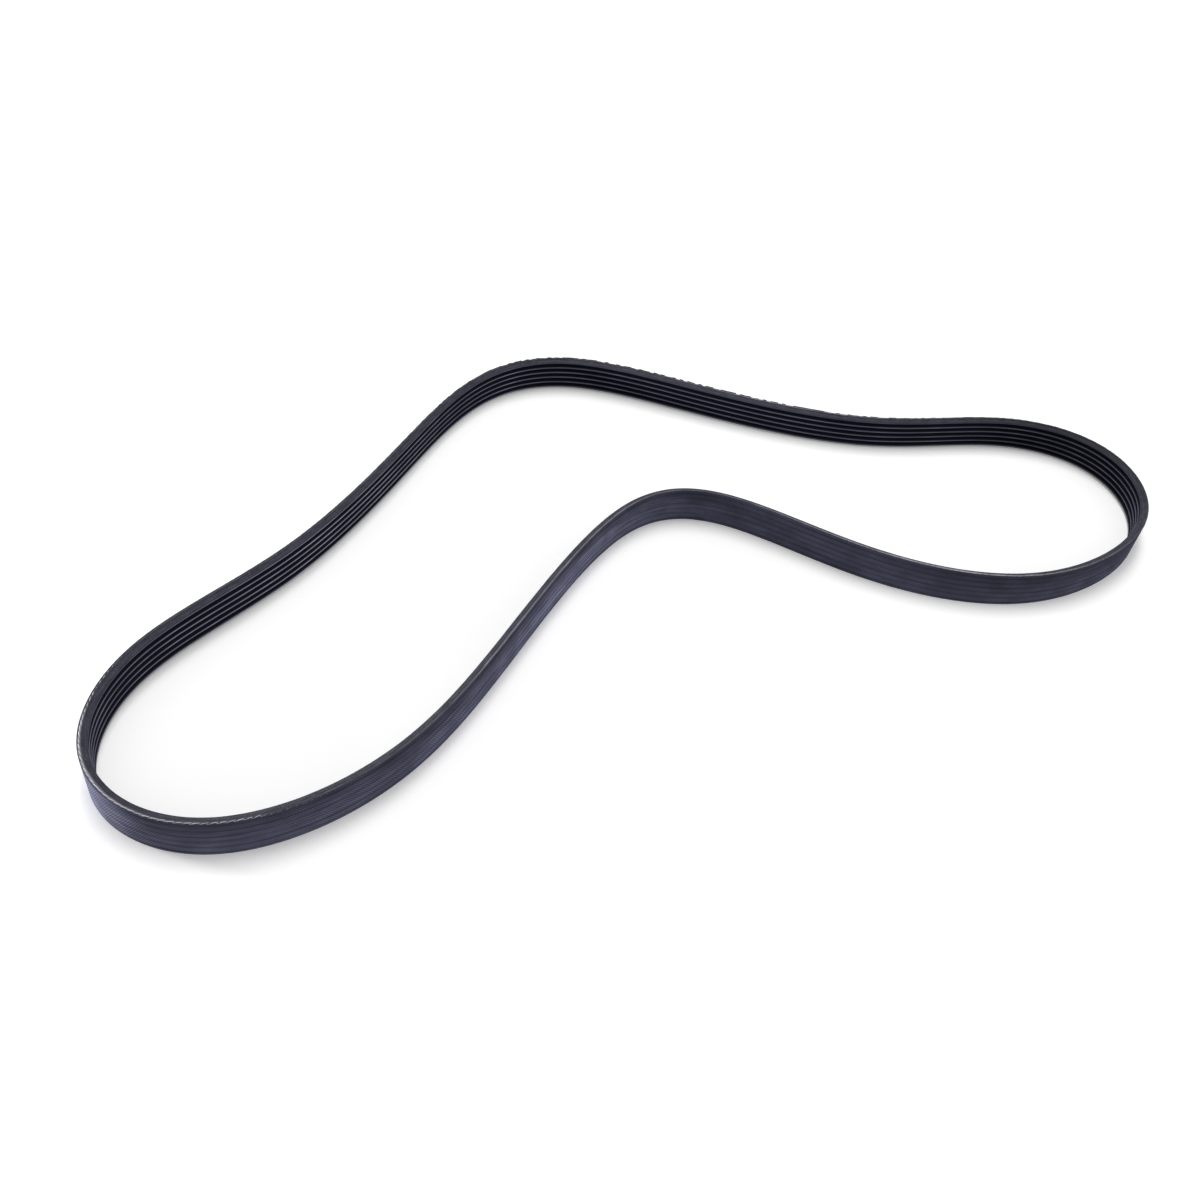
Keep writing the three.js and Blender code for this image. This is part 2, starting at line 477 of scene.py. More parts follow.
at_left_end = near(run, *RUBBED_AND_LIT_END)
rubbed_and_lit_band = 0.5 + 0.5 * band(height, *RUBBED_AND_LIT_BAND)
painted_shade_border = 1 - 0.8 * band(height, *PAINTED_SHADE_BORDER)
rubbed_and_lit = near(run, *RUBBED_AND_LIT_LEG) * rubbed_and_lit_band * painted_shade_border + at_left_end
rubbed_and_lit += 0.2 * near(run, *RUBBED_AND_LIT_BEHIND_END) * painted_shade_border
rubbed_and_lit += 0.08 * slow_waves(run, 200, 25, seed=21)
store(cloth, "rubbed_and_lit", np.clip(rubbed_and_lit, 0, 1))
# Painted bounce light: a factor falling with height, softened at the near end.
painted_bounce_light = BOUNCE_LIGHT_LOW + (BOUNCE_LIGHT_HIGH - BOUNCE_LIGHT_LOW) * np.clip(height / BOUNCE_LIGHT_HEIGHT, 0, 1)
store(cloth, "painted_bounce_light", painted_bounce_light + (1 - painted_bounce_light) * 0.8 * at_left_end)
store(cloth, "dark_rim", at_left_end)
frayed = near(run, *RAGGED_STRETCH) * (height > BELT_WIDTH - EDGE_INSET)
store(cloth, "frayed", frayed * (1 - standing[:, None]))
print(f"rubbed share from {rubbed_and_lit.min():.2f} to {rubbed_and_lit.max():.2f}")

# %% [markdown]
# ## The cord in the cut edges
#
# Inside the belt a cord of twisted polyester winds round and round, side by side like thread on a
# reel. It carries the pull. Where the belt is cut to its width, the knife meets the cord at a very
# flat angle and lays it open along the edge, as a pale beaded line: each bead is one strand coming
# over the top of the twist. It shows best round the near left end and next best at the front
# right. Elsewhere it lies under the rubber, apart from patches.
#
# Since the cord crosses the cut edge at a slant, its distance from the back changes slowly along
# the belt: at the near end it runs from well inside the edge out to its very rim. Three short
# functions say where it lies and how bare it is. The rubber beside it asks the first one too.

# %% Where the cord lies
CORD_OUTWARD = 0.5
CORD_LIMIT = 0.82
CORD_FARTHER_OUT = (LEFT_END + 90, 50)
CORD_FARTHER_IN = (LEFT_END + 10, 45)
BARE_END = (LEFT_END + 45, 80)
BARE_FRONT = (FRONT_RIGHT - 10, 140)
BAREST_BELOW = 0.4


def cord_place(run):
    """How far outward the cord lies in the cut edges."""
    drift = 0.55 * near(run, *CORD_FARTHER_OUT) - 0.45 * near(run, *CORD_FARTHER_IN)
    place = CORD_OUTWARD + drift + 0.1 * slow_waves(run, 300, 60, seed=33)
    return np.minimum(place, CORD_LIMIT)


def bare_top(run):
    """How bare the cord lies in the top edge, from 0 under the rubber to 1 in full sight."""
    left_end = 1.3 * near(run, *BARE_END)
    front = 0.7 * near(run, *BARE_FRONT)
    patches = 0.2 * slow_waves(run, 120, 9, seed=30)
    return np.clip(left_end + front + patches, 0, 1)


def bare_bottom(run):
    """The same for the bottom edge. The belt stands on it, so the cord never lies quite bare."""
    return np.clip(0.2 + 0.25 * slow_waves(run, 400, 20, seed=31), 0, BAREST_BELOW)


cord_places = cord_place(np.arange(0, BELT_LENGTH, 5.0))
print(f"the cord lies {cord_places.min():.2f} to {cord_places.max():.2f} mm outward")

# %% [markdown]
# ### Two twisted strands
#
# Two strands wind round each other, half a turn apart. Each is a thin tube in belt coordinates, so
# that the ring helper can make it. A painted line would do from far away, but real depth matters
# here, because the beads are what the eye sees.

# %% Twisted strands
STRAND_RADIUS = 0.23
TWIST_RADIUS = 0.16
TWIST_LENGTH = 6.8
STRAND_SIDES = 6
ROWS_PER_TWIST = 12
CORD_DEPTH = 0.23
CORD_DIP = 0.3

twist_count = round(BELT_LENGTH / TWIST_LENGTH)
strand_rows = twist_count * ROWS_PER_TWIST
strand_run = np.linspace(0, BELT_LENGTH, strand_rows, endpoint=False)


def twisted_strand(name, edge_height, side, bare, turn):
    """One of the two strands along a cut edge. side is 1 for the top edge and -1 for the bottom."""
    twist = 2 * np.pi * twist_count * strand_run / BELT_LENGTH + turn
    depth = -CORD_DEPTH - CORD_DIP * (1 - bare)
    middle_out = cord_place(strand_run) + TWIST_RADIUS * np.cos(twist)
    middle_up = edge_height + side * (depth + TWIST_RADIUS * np.sin(twist))
    angles = np.linspace(0, 2 * np.pi, STRAND_SIDES, endpoint=False)
    run = np.repeat(strand_run[:, None], STRAND_SIDES, axis=1)
    outward = middle_out[:, None] + STRAND_RADIUS * np.cos(angles)
    height = middle_up[:, None] + STRAND_RADIUS * np.sin(angles)
    strand = ring_mesh(name, run, outward, height, closed_section=True)
    store(strand, "bare", np.repeat(bare[:, None], STRAND_SIDES, axis=1))
    return strand


strands = [
    twisted_strand("tensile_strand_top_a", BELT_WIDTH, 1, bare_top(strand_run), 0),
    twisted_strand("tensile_strand_top_b", BELT_WIDTH, 1, bare_top(strand_run), math.pi),
    twisted_strand("tensile_strand_low_a", 0, -1, bare_bottom(strand_run), 0),
    twisted_strand("tensile_strand_low_b", 0, -1, bare_bottom(strand_run), math.pi),
]

# %% [markdown]
# ### Glue, wear and a dim bend
#
# The cord was dipped in glue before it was wound. A pale film of it shows beside the cord, most of
# all in the near end, at the front right and on the hump. The rib crowns on the far leg are pale:
# worn, and with a painted highlight of the lamp at the right. The bend at the right end has a
# painted shade: it is darker than the rest.
#
# Vertex paint could say this by hand. A few gentle spots along the run say it in numbers, and the
# distance past the cord is stored with them, so that the film stays beside the cord as it drifts.

# %% Glue, worn and lit crowns, and the shaded bend
GLUE_SPOTS = (
    (0.75, LEFT_END + 34, 38),
    (0.5, NEAR_LEG, 140),
    (0.9, FRONT_RIGHT - 20, 100),
    (0.7, BACK_HUMP - 140, 110),
)
# Crowns on the far leg: worn pale, with a painted highlight.
WORN_AND_LIT_SPOT = (FAR_LEG + 20, 130)
# Painted shade on the bend at the right end.
PAINTED_SHADE_BEND = (RIGHT_END + 60, 65)

glue = sum(amount * near(run_of_body, middle, reach) for amount, middle, reach in GLUE_SPOTS)
glue += 0.12 * slow_waves(run_of_body, 200, 20, seed=34)
store(body, "glue", np.clip(glue, 0, 1))
store(body, "past_cord", outward_of_body - cord_place(run_of_body))
wear_and_highlight = 0.9 * near(run_of_body, *WORN_AND_LIT_SPOT) + 0.15 * slow_waves(run_of_body, 240, 20, seed=32)
store(body, "wear_and_highlight", np.clip(wear_and_highlight, 0, 1))
# Painted shade: the bend at the right end is darker than the rest.
store(body, "painted_bend_shade", 1 - 0.5 * near(run_of_body, *PAINTED_SHADE_BEND))
print(f"glue share up to {glue.max():.2f}, worn share up to {wear_and_highlight.max():.2f}")

# %% [markdown]
# ## Loose fibres
#
# The knife also pulls short ends of thread out of the cloth. They are thinner than a pixel in this
# view, but together they soften the outer top edge, most of all on the hump at the back.
#
# Hair particles would be the usual way to grow them. A few hundred tiny bent spikes in one mesh do
# the same, export as plain geometry, and stay where they are put.

# %% Loose fibres
FIBRE_COUNT = 1400
FIBRE_LENGTH = (0.3, 1.1)
FIBRE_RADIUS = 0.06
FIBRE_JOINTS = 3
FIBRE_LEAN = (-1.1, 1.1)
FIBRE_TILT = (-0.5, 0.6)
FIBRE_CURL = (-0.8, 0.8)
FIBRE_ROOT_DOWN = 0.05
FIBRE_ROOT_IN = 0.12
FIBRE_FLATNESS = 0.5
FIBRES_ELSEWHERE = 0.2
FIBROUS_STRETCH = (BACK_HUMP - 80, 240)


def fibre_mesh(name, count):
    """Short bent three-sided spikes that grow out of the cloth's upper border."""
    corners = []
    faces = []
    lengths = random.uniform(*FIBRE_LENGTH, count)
    starts = random.uniform(0, BELT_LENGTH, count)
    wanted = FIBRES_ELSEWHERE + (1 - FIBRES_ELSEWHERE) * near(starts, *FIBROUS_STRETCH)
    keep = random.uniform(0, 1, count) < wanted
    for start, length in zip(starts[keep], lengths[keep]):
        lean = random.uniform(*FIBRE_LEAN)
        tilt = random.uniform(*FIBRE_TILT)
        curl = random.uniform(*FIBRE_CURL)
        first = len(corners)
        for joint in range(FIBRE_JOINTS):
            part = joint / FIBRE_JOINTS
            angle = lean + curl * part
            along = start + length * part * math.sin(angle)
            rise = length * part * math.cos(angle) * FIBRE_FLATNESS
            up = BELT_WIDTH - FIBRE_ROOT_DOWN + rise
            out = BACK_ABOVE_CORD - FIBRE_ROOT_IN + length * part * tilt * FIBRE_FLATNESS
            radius = FIBRE_RADIUS * (1 - part)
            for side in range(3):
                turn = side * 2 * math.pi / 3
                corner_along = along + radius * math.cos(turn)
                corners.append((corner_along, out + radius * math.sin(turn), up))
        for joint in range(FIBRE_JOINTS - 1):
            base = first + joint * 3
            for side in range(3):
                other = (side + 1) % 3
                faces.append((base + side, base + other, base + 3 + other, base + 3 + side))
        tip = first + (FIBRE_JOINTS - 1) * 3
        faces.append((tip, tip + 1, tip + 2))
    corners = np.array(corners)
    mesh = bpy.data.meshes.new(name)
    mesh.from_pydata(place_on_belt(*corners.T).tolist(), [], faces)
    mesh.update()
    piece = bpy.data.objects.new(name, mesh)
    bpy.context.scene.collection.objects.link(piece)
    print(f"{name}: {keep.sum()} fibres, {len(faces)} faces")
    return piece


fibres = fibre_mesh("loose_fibres", FIBRE_COUNT)

# %% [markdown]
# ## Building materials from nodes
#
# Each finish is a small network of nodes. Adding a node, setting it and wiring it takes three lines
# in Blender's own words, so a helper does the three at once: it takes the node's type, its settings,
# and a value or another node's output for each socket.

# %% Node helper


def add(tree, kind, settings=None, sockets=None):
    """Add one node. sockets maps a name or number to a value, or to an output to link from."""
    node = tree.nodes.new(kind)
    for key, value in (settings or {}).items():
        setattr(node, key, value)
    for key, value in (sockets or {}).items():
        if isinstance(value, bpy.types.NodeSocket):
            tree.links.new(value, node.inputs[key])
        else:
            node.inputs[key].default_value = value
    return node


def math_node(tree, operation, *values):
    """One step of arithmetic. Each value is a number or an output."""
    node = add(tree, "ShaderNodeMath", {"operation": operation}, dict(enumerate(values)))
    return node.outputs[0]


def blend_colour(tree, share, first, second):
    """A colour between two, by a share from 0 to 1."""
    node = add(tree, "ShaderNodeMix", {"data_type": "RGBA"}, {0: share, 6: first, 7: second})
    return node.outputs[2]


def scale_colour(tree, colour, factor):
    """A colour made lighter or darker by a factor."""
    sockets = {0: colour, "Scale": factor}
    return add(tree, "ShaderNodeVectorMath", {"operation": "SCALE"}, sockets).outputs[0]


def spread(tree, value, low, high, to_low=0.0, to_high=1.0):
    """Stretch the range from low to high over the one from to_low to to_high, and cut it off."""
    sockets = {0: value, 1: low, 2: high, 3: to_low, 4: to_high}
    return add(tree, "ShaderNodeMapRange", {"clamp": True}, sockets).outputs[0]


def point_value(tree, label):
    """A number that was stored for each point of the mesh."""
    node = add(tree, "ShaderNodeAttribute", {"attribute_name": label})
    return node.outputs["Fac"]


def new_material(name):
    """A material with only its output and one main shader in it."""
    material = bpy.data.materials.new(name)
    material.use_nodes = True
    tree = material.node_tree
    shader = tree.nodes["Principled BSDF"]
    return material, tree, shader


# %% [markdown]
# ## Grain that follows the belt
#
# Grinding, knife marks and dust all run along the belt, so their noise has to be long in that
# direction and short across it. In plain room coordinates it would cut straight through the bends.
# The unrolled map is right, but it jumps where the ring closes, and the noise would show a seam.
#
# So the run is wrapped round a circle of the belt's own length before it goes into the noise: the
# pattern then meets itself. The third direction is the way across the section, stretched as asked.

# %% Noise along the belt
def belt_noise(tree, along, across, detail=3.0):
    """Noise with features of about these two sizes in millimetres, along and across the belt."""
    unrolled = add(tree, "ShaderNodeUVMap", {"uv_map": BELT_MAP}).outputs[0]
    parts = add(tree, "ShaderNodeSeparateXYZ", None, {0: unrolled})
    circle = BELT_LENGTH * MM / (2 * math.pi)
    angle = math_node(tree, "DIVIDE", parts.outputs[0], circle)
    x = math_node(tree, "MULTIPLY", math_node(tree, "COSINE", angle), circle)
    y = math_node(tree, "MULTIPLY", math_node(tree, "SINE", angle), circle)
    z = math_node(tree, "MULTIPLY", parts.outputs[1], along / across)
    place = add(tree, "ShaderNodeCombineXYZ", None, {0: x, 1: y, 2: z}).outputs[0]
    sockets = {"Vector": place, "Scale": 1 / (along * MM), "Detail": detail}
    return add(tree, "ShaderNodeTexNoise", None, sockets).outputs["Fac"]


def bump(tree, height, distance, strength=1.0, normal=None):
    """Tilt the shading by a height from 0 to 1 that is worth this distance in millimetres."""
    sockets = {"Height": height, "Distance": distance * MM, "Strength": strength}
    if normal is not None:
        sockets["Normal"] = normal
    return add(tree, "ShaderNodeBump", None, sockets).outputs[0]


# %% [markdown]
# ## Rib rubber
#
# The ribs are ground, which leaves a satin black with fine lines along the belt and short fibres in
# it. Its colour is painted darker than the rubber is, for the shade that falls in the grooves and on
# the flanks. The tips are paler: a painted highlight, and the dust that they hold. A share of paler
# colour by distance outward gives that, broken up by the lines. The very crowns are the palest
# where the stored wear and painted highlight say so, and the top rib is a little darker than those
# below it.

# %% Rib rubber
# Painted shade in the grooves and on the flanks; the tips get a painted highlight with dust.
RUBBER_PAINTED_SHADE = (0.009, 0.009, 0.020, 1)
RUBBER_TIP_LIT_AND_DUSTY = (0.145, 0.150, 0.205, 1)
RUBBER_WORN_AND_LIT = (0.50, 0.51, 0.64, 1)
RUBBER_SPECK = (0.05, 0.05, 0.06, 1)
TIP_OUTWARD = VALLEY_OUTWARD - RIB_HEIGHT
TIP_ZONE = (TIP_OUTWARD + 0.42, TIP_OUTWARD + 0.02)
CROWN_ZONE = (TIP_OUTWARD + 0.17, TIP_OUTWARD + 0.03)
TOP_RIB_ZONE = (BELT_WIDTH - 1.5, BELT_WIDTH - 5)

rib_rubber, tree, shader = new_material("ground_rib_rubber")
lines = belt_noise(tree, 30, 0.25)
specks = belt_noise(tree, 0.8, 0.3)
outward_place = point_value(tree, "outward_mm")
# Painted highlight and dust on the tips.
at_tip = spread(tree, outward_place, *TIP_ZONE)
dust_and_light = spread(tree, lines, 0.35, 0.65, 0.5, 1.0)
below_top_rib = spread(tree, point_value(tree, "height_mm"), *TOP_RIB_ZONE, 0.45, 0.9)
dust_and_light = math_node(tree, "MULTIPLY", dust_and_light, below_top_rib)
tip_light_and_dust_share = math_node(tree, "MULTIPLY", at_tip, dust_and_light)
pale = blend_colour(tree, tip_light_and_dust_share, RUBBER_PAINTED_SHADE, RUBBER_TIP_LIT_AND_DUSTY)
# The crowns: worn pale and a painted highlight, where the stored share says so.
at_crown = spread(tree, outward_place, *CROWN_ZONE)
wear_and_highlight_share = math_node(tree, "MULTIPLY", at_crown, point_value(tree, "wear_and_highlight"))
wear_and_highlight_share = math_node(tree, "MULTIPLY", wear_and_highlight_share, spread(tree, lines, 0.3, 0.6, 0.4, 1.0))
wear_and_highlight_share = math_node(tree, "MULTIPLY", wear_and_highlight_share, below_top_rib)
pale = blend_colour(tree, wear_and_highlight_share, pale, RUBBER_WORN_AND_LIT)
speck_share = spread(tree, specks, 0.60, 0.72, 0.0, 0.25)
specked = blend_colour(tree, speck_share, pale, RUBBER_SPECK)
# Painted shade on the bend at the right end.
tree.links.new(scale_colour(tree, specked, point_value(tree, "painted_bend_shade")), shader.inputs["Base Color"])
tree.links.new(spread(tree, lines, 0.3, 0.7, 0.42, 0.62), shader.inputs["Roughness"])
shader.inputs["Specular IOR Level"].default_value = 0.15
grain = bump(tree, specks, 0.02, 0.6)
tree.links.new(bump(tree, lines, 0.02, 0.5, grain), shader.inputs["Normal"])
print(f"{rib_rubber.name}: {len(tree.nodes)} nodes")

# %% [markdown]
# ## Cut edge
#
# The top and bottom faces are cut through the layers. From the inside out there is rib rubber with
# pale ends of short fibre, the cord in its soft rubber, a thin dark line, and the end of the cloth.
# A colour ramp over the distance outward paints the layers. The glue that the cord was dipped in
# shows pale on both sides of it, where the stored share says so, and wider where there is more of
# it. The knife leaves fine marks, and slow blotches keep the long band from looking painted.

# %% Cut edge
LAYERS_FROM = -0.7
LAYERS_TO = 1.3
INNER_LAYER = (0.037, 0.038, 0.056, 1)
LAYER_GREYS = ((0.32, 0.044), (0.50, 0.048), (0.72, 0.052), (0.88, 0.026), (0.94, 0.022))
LAYER_BLUENESS = 1.32
CLOTH_LAYER = (0.044, 0.044, 0.058, 1)
GLUE_FILM = (0.35, 0.345, 0.38, 1)
GLUE_REACH = 0.45
GLUE_EXTRA_REACH = 0.7
FIBRE_FLECK = (0.090, 0.092, 0.108, 1)

cut_rubber, tree, shader = new_material("cut_edge_rubber")
knife = belt_noise(tree, 6, 0.18)
flecks = belt_noise(tree, 0.9, 0.5, 5.0)
layer_place = spread(tree, point_value(tree, "outward_mm"), LAYERS_FROM, LAYERS_TO)
wavering = math_node(tree, "ADD", layer_place, spread(tree, knife, 0.3, 0.7, -0.05, 0.05))
layers = add(tree, "ShaderNodeValToRGB", None, {0: wavering})
layers.color_ramp.elements[0].position = 0.0
layers.color_ramp.elements[0].color = INNER_LAYER
layers.color_ramp.elements[1].position = 1.0
layers.color_ramp.elements[1].color = CLOTH_LAYER
for position, grey in LAYER_GREYS:
    stop = layers.color_ramp.elements.new(position)
    stop.color = (grey, grey, grey * LAYER_BLUENESS, 1)
from_cord = math_node(tree, "ABSOLUTE", point_value(tree, "past_cord"))
glue = point_value(tree, "glue")
reach = math_node(tree, "MULTIPLY_ADD", glue, GLUE_EXTRA_REACH, GLUE_REACH)
full_reach = math_node(tree, "SUBTRACT", reach, 0.5)
glue_share = math_node(tree, "MULTIPLY", spread(tree, from_cord, reach, full_reach), glue)
glue_share = math_node(tree, "MULTIPLY", glue_share, spread(tree, knife, 0.35, 0.6, 0.4, 1.0))
colour = blend_colour(tree, glue_share, layers.outputs[0], GLUE_FILM)
fleck_share = spread(tree, flecks, 0.54, 0.68, 0.0, 0.6)
colour = blend_colour(tree, fleck_share, colour, FIBRE_FLECK)
mottle = spread(tree, belt_noise(tree, 6, 1.2), 0.35, 0.65, 0.72, 1.25)
# Painted shade on the bend at the right end, on the cut edge too.
mottle = math_node(tree, "MULTIPLY", mottle, point_value(tree, "painted_bend_shade"))
tree.links.new(scale_colour(tree, colour, mottle), shader.inputs["Base Color"])
tree.links.new(spread(tree, knife, 0.3, 0.7, 0.55, 0.75), shader.inputs["Roughness"])
shader.inputs["Specular IOR Level"].default_value = 0.2
grain = bump(tree, flecks, 0.03, 0.7)
tree.links.new(bump(tree, knife, 0.03, 0.6, grain), shader.inputs["Normal"])
print(f"{cut_rubber.name}: {len(tree.nodes)} nodes")

# %% [markdown]
# The body is one mesh, so its two finishes are two material slots. A face belongs to the cut edge
# if all its corners are at the very top or the very bottom. So does the start of the open flank
# next to it, which lies free: it collects the same dust, and it is left out of the painted shade
# of the grooves.

# %% Finish the body
OPEN_FLANK_WIDTH = 1.3
OPEN_FLANK_START = -0.5
BODY_SHARP_ANGLE = math.radians(35)

body.data.materials.append(rib_rubber)
body.data.materials.append(cut_rubber)
points = len(section)
from_middle = np.abs(section[:, 1] - BELT_WIDTH / 2)
near_an_edge = from_middle > BELT_WIDTH / 2 - OPEN_FLANK_WIDTH
on_open_flank = near_an_edge & (section[:, 0] < OPEN_FLANK_START)
in_cut = on_top | on_bottom | on_open_flank
cut_column = [in_cut[j] and in_cut[(j + 1) % points] for j in range(points)]
slot_of_face = np.tile(np.array(cut_column, np.int32), BODY_ROWS)
body.data.polygons.foreach_set("material_index", slot_of_face)
body.data.set_sharp_from_angle(angle=BODY_SHARP_ANGLE)
print("cut faces in each row:", sum(cut_column))

# %% [markdown]
# ## Rubbed-in cloth
#
# Blue-black, and paler on the ridges: partly where the rubber is rubbed off the threads, partly a
# painted highlight on their tops. A second set of threads crosses the ridges the other way. It is a
# sine across the unrolled map, with a whole number of threads round the belt so that it closes.
# Each of the two states of the cloth, plain and rubbed pale with painted light, has a colour for
# its threads and one for the gaps, and the stored share chooses between them, broken up by scuffs
# along the belt.

# %% Threads, plain and rubbed pale with painted light
CLOTH_GAP = (0.033, 0.033, 0.047, 1)
CLOTH_THREAD = (0.110, 0.113, 0.176, 1)
# Colours of the cloth where it is rubbed pale and painted light.
RUBBED_AND_LIT_GAP = (0.065, 0.067, 0.108, 1)
RUBBED_AND_LIT_THREAD = (0.430, 0.442, 0.640, 1)
CROSSING_WEIGHT = 0.45
RIDGE_WEIGHT = 0.55

bias_cloth, tree, shader = new_material("bias_woven_cloth")
unrolled = add(tree, "ShaderNodeUVMap", {"uv_map": BELT_MAP}).outputs[0]
parts = add(tree, "ShaderNodeSeparateXYZ", None, {0: unrolled})
crossing_run = math_node(tree, "MULTIPLY", parts.outputs[0], thread_count / (BELT_LENGTH * MM))
crossing_up = math_node(tree, "MULTIPLY", parts.outputs[1], THREAD_SLANT / (THREAD_PITCH * MM))
crossing = math_node(tree, "ADD", crossing_run, crossing_up)
cross_wave = math_node(tree, "SINE", math_node(tree, "MULTIPLY", crossing, 2 * math.pi))
ridge_share = spread(tree, point_value(tree, "ridge"), -1, 1)
cross_share = spread(tree, cross_wave, -1, 1)
hollow_shade_streaks = belt_noise(tree, 60, 0.7)
rub = belt_noise(tree, 12, 6)
fuzz = belt_noise(tree, 0.5, 0.4, 4.0)

# Paler thread ridges: partly rubbed off, partly a painted highlight on their tops.
ridge_rub_and_highlight = math_node(tree, "MULTIPLY", ridge_share, RIDGE_WEIGHT)
weave = math_node(tree, "MULTIPLY_ADD", cross_share, CROSSING_WEIGHT, ridge_rub_and_highlight)
weave = math_node(tree, "MULTIPLY", weave, spread(tree, rub, 0.35, 0.65, 0.6, 1.0))
dark_cloth = blend_colour(tree, weave, CLOTH_GAP, CLOTH_THREAD)
rubbed_and_lit_cloth = blend_colour(tree, weave, RUBBED_AND_LIT_GAP, RUBBED_AND_LIT_THREAD)
scuffs = belt_noise(tree, 30, 0.6, 5.0)
scuffed = spread(tree, scuffs, 0.42, 0.60, 0.30, 1.0)
rubbed_and_lit_share = math_node(tree, "MULTIPLY", point_value(tree, "rubbed_and_lit"), scuffed)
colour = blend_colour(tree, rubbed_and_lit_share, dark_cloth, rubbed_and_lit_cloth)
print(f"weave and rub: {len(tree.nodes)} nodes")

# %% [markdown]
# ### Lines, rim and frayed ends
#
# Faint dark lines run along the belt, one to a rib: a painted shade on the upper slope of each long
# hollow. At the near end they fade, and the upper rim stays dark. On the hump the cut thread ends
# are pale.
#
# Cloth is matt: a smoother finish would mirror the white floor at the bends, where the surface is
# seen at a flat angle. So the roughness is high, and a very little sheen stands for the fibre ends
# that catch light from the side.

# %% Painted shade lines, rim and frayed ends
# Painted shade on the upper slope of each long hollow, one line to a rib.
HOLLOW_SHADE_COLOUR = (0.016, 0.016, 0.026, 1)
HOLLOW_SHADE_OFFSET = 1.4
RIM_ZONE = (BELT_WIDTH - 1.3, BELT_WIDTH - 0.6)
FRAYED_END = (0.62, 0.62, 0.64, 1)
CLOTH_SHARP_ANGLE = math.radians(50)

# Painted shade lines, 1.4 mm above the middle of each hollow.
from_hollow_shade = math_node(tree, "SUBTRACT", point_value(tree, "height_mm"), HOLLOW_SHADE_OFFSET)
hollow_shade_phase = math_node(tree, "MULTIPLY", from_hollow_shade, 2 * math.pi / RIB_PITCH)
hollow_shade_wave = math_node(tree, "COSINE", hollow_shade_phase)
hollow_shade_strength = spread(tree, hollow_shade_streaks, 0.38, 0.62, 0.15, 0.6)
hollow_shade_share = math_node(tree, "MULTIPLY", spread(tree, hollow_shade_wave, 0.1, 1.0), hollow_shade_strength)
away_from_end = spread(tree, point_value(tree, "dark_rim"), 0, 1, 1.0, 0.2)
hollow_shade_share = math_node(tree, "MULTIPLY", hollow_shade_share, away_from_end)
colour = blend_colour(tree, hollow_shade_share, colour, HOLLOW_SHADE_COLOUR)
in_rim = spread(tree, point_value(tree, "height_mm"), *RIM_ZONE, 0.0, 0.8)
rim_share = math_node(tree, "MULTIPLY", in_rim, point_value(tree, "dark_rim"))
colour = blend_colour(tree, rim_share, colour, CLOTH_GAP)
# Painted bounce light from the floor: paler towards the floor than towards the top.
colour = scale_colour(tree, colour, point_value(tree, "painted_bounce_light"))
colour = blend_colour(tree, point_value(tree, "frayed"), colour, FRAYED_END)
tree.links.new(colour, shader.inputs["Base Color"])
tree.links.new(spread(tree, fuzz, 0.3, 0.7, 0.75, 0.95), shader.inputs["Roughness"])
shader.inputs["Specular IOR Level"].default_value = 0.04
shader.inputs["Sheen Weight"].default_value = 0.02
shader.inputs["Sheen Roughness"].default_value = 0.4
grain = bump(tree, fuzz, 0.02, 0.6)
tree.links.new(bump(tree, cross_share, 0.04, 0.7, grain), shader.inputs["Normal"])
cloth.data.materials.append(bias_cloth)
cloth.data.set_sharp_from_angle(angle=CLOTH_SHARP_ANGLE)
print(f"{bias_cloth.name}: {len(tree.nodes)} nodes")

# %% [markdown]
# ## Cord yarn
#
# The polyester is off-white under a film of adhesive. Where the cord lies bare it is pale, and
# where rubber still covers it, it is nearly as dark as its surroundings. The stored share decides.

# %% Cord yarn
YARN_COVERED = (0.025, 0.025, 0.032, 1)
YARN_BARE = (0.66, 0.645, 0.68, 1)

cord_yarn, tree, shader = new_material("tensile_cord_yarn")
bare_share = point_value(tree, "bare")
smear = belt_noise(tree, 5, 0.6)
clean = math_node(tree, "MULTIPLY", bare_share, spread(tree, smear, 0.35, 0.6, 0.5, 1.0))
colour = blend_colour(tree, clean, YARN_COVERED, YARN_BARE)
tree.links.new(colour, shader.inputs["Base Color"])
shader.inputs["Roughness"].default_value = 0.7
filaments = belt_noise(tree, 1.2, 0.15)
tree.links.new(bump(tree, filaments, 0.04, 0.8), shader.inputs["Normal"])
for strand in strands:
    strand.data.materials.append(cord_yarn)
print(f"{cord_yarn.name}: {len(tree.nodes)} nodes")

# %% [markdown]
# ## Fibre yarn
#
# The loose ends come from the same yarn as the cloth. Some are still black with rubber and some
# are clean, so a fine noise in room coordinates mixes a dark and a pale grey. No seam can show in
# such tiny pieces.

# %% Fibre yarn
FIBRE_DARK = (0.03, 0.03, 0.04, 1)
FIBRE_PALE = (0.34, 0.34, 0.36, 1)
FIBRE_NOISE_SCALE = 900

fibre_yarn, tree, shader = new_material("loose_fibre_yarn")
place = add(tree, "ShaderNodeTexCoord").outputs["Object"]
sockets = {"Vector": place, "Scale": FIBRE_NOISE_SCALE}
patchy = add(tree, "ShaderNodeTexNoise", None, sockets).outputs["Fac"]
colour = blend_colour(tree, patchy, FIBRE_DARK, FIBRE_PALE)
tree.links.new(colour, shader.inputs["Base Color"])
shader.inputs["Roughness"].default_value = 0.8
fibres.data.materials.append(fibre_yarn)
print(f"{fibre_yarn.name}: {len(tree.nodes)} nodes")

# %% [markdown]
# ## Attach the pieces
#
# The belt has no joint, so everything rides on the one root body. The ribbed body stands for the
# plain solid, which is then hidden.

# %% Attach
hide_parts("ribbed_belt")
for piece in [body, cloth, *strands, fibres]:
    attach(piece, "root")

